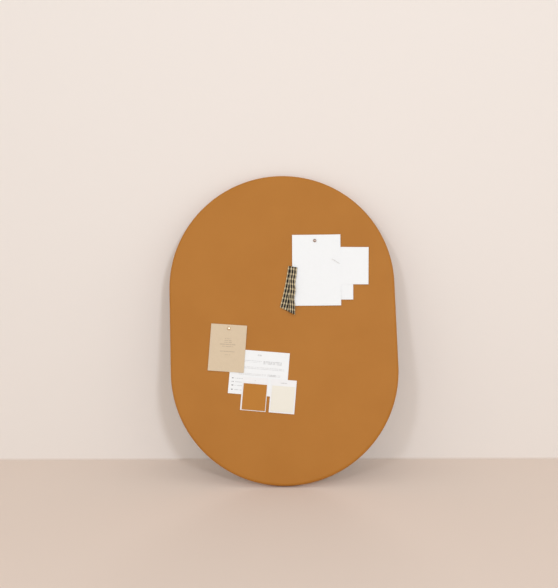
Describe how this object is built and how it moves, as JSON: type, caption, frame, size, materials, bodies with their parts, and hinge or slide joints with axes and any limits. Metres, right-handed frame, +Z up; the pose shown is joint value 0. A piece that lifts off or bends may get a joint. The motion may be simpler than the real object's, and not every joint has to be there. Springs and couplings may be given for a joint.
{
  "type": "pinboard",
  "caption": "Oval padded pinboard covered in tan leather-look cloth, with keyhole hangers behind and pinned papers, sample cards and a pleated gingham strip in front.",
  "frame": {"origin": "on the wall plane, midway between the upper ends of the two keyhole slots, where the shanks of the wall screws rest", "axes": "+X to the right as seen from the front, +Y into the wall, so the front looks along -Y, and +Z up"},
  "size_m": [0.7, 0.0412, 0.96],
  "materials": {
    "tan_leather": "matte",
    "cream_leather": "matte",
    "wadding": "matte",
    "softboard": "matte",
    "backing": "matte",
    "felt": "matte",
    "steel": "satin",
    "tack_metal": "satin",
    "pad_rubber": "matte",
    "white_paper": "matte",
    "white_card": "matte",
    "kraft_card": "matte",
    "gingham": "matte"
  },
  "bodies": {
    "board": {"front_cover": "tan_leather", "foam_wadding": "wadding", "softboard_core": "softboard", "backing_board": "backing", "back_lining": "felt", "left_hanger_plate": "steel", "right_hanger_plate": "steel", "left_hanger_screw_upper": "steel", "left_hanger_screw_lower": "steel", "right_hanger_screw_upper": "steel", "right_hanger_screw_lower": "steel", "wall_pad_top_left": "pad_rubber", "wall_pad_top_right": "pad_rubber", "wall_pad_bottom_left": "pad_rubber", "wall_pad_bottom_right": "pad_rubber", "white_sheet_low": "white_paper", "white_sheet_side": "white_paper", "white_sheet_front": "white_paper", "printed_sheet": "white_paper"},
    "kraft": {"kraft_card": "kraft_card"},
    "tan_sample": {"tan_sample_card": "white_card", "tan_sample_square": "tan_leather"},
    "cream_sample": {"cream_sample_card": "white_card", "cream_sample_square": "cream_leather"},
    "gingham": {"gingham_strip": "gingham"},
    "sheet_tack": {"sheet_tack_head": "tack_metal", "sheet_tack_needle": "steel"},
    "card_tack": {"card_tack_head": "tack_metal", "card_tack_needle": "steel"},
    "long_pin": {"slanted_pin": "steel"},
    "strip_pin": {"gingham_pin": "steel"},
    "tan_pin": {"tan_sample_pin": "steel"},
    "cream_pin": {"cream_sample_pin": "steel"}
  },
  "joints": [
    {"name": "sheet_tack_pull", "type": "slide", "parent": "board", "child": "sheet_tack", "axis": [0, -1, 0], "range_m": [0, 0.012]},
    {"name": "card_tack_pull", "type": "slide", "parent": "board", "child": "card_tack", "axis": [0, -1, 0], "range_m": [0, 0.012]},
    {"name": "slanted_pin_pull", "type": "slide", "parent": "board", "child": "long_pin", "axis": [-0.8012, -0.342, 0.491], "range_m": [0, 0.026]},
    {"name": "gingham_pin_pull", "type": "slide", "parent": "board", "child": "strip_pin", "axis": [0, -1, 0], "range_m": [0, 0.016]},
    {"name": "tan_sample_pin_pull", "type": "slide", "parent": "board", "child": "tan_pin", "axis": [0, -1, 0], "range_m": [0, 0.016]},
    {"name": "cream_sample_pin_pull", "type": "slide", "parent": "board", "child": "cream_pin", "axis": [0, -1, 0], "range_m": [0, 0.016]},
    {"name": "kraft_card_turn", "type": "hinge", "parent": "board", "child": "kraft", "pos_m": [-0.1657, -0.0314, -0.24723], "axis": [0, 1, 0], "range_deg": [-8, 8]},
    {"name": "tan_sample_turn", "type": "hinge", "parent": "board", "child": "tan_sample", "pos_m": [-0.08879, -0.0306, -0.4104], "axis": [0, 1, 0], "range_deg": [-2.5, 12]},
    {"name": "cream_sample_turn", "type": "hinge", "parent": "board", "child": "cream_sample", "pos_m": [-0.00176, -0.0306, -0.42031], "axis": [0, 1, 0], "range_deg": [-12, 2.5]},
    {"name": "gingham_turn", "type": "hinge", "parent": "board", "child": "gingham", "pos_m": [0.03791, -0.0335, -0.06768], "axis": [0, 1, 0], "range_deg": [-10, 10]}
  ]
}
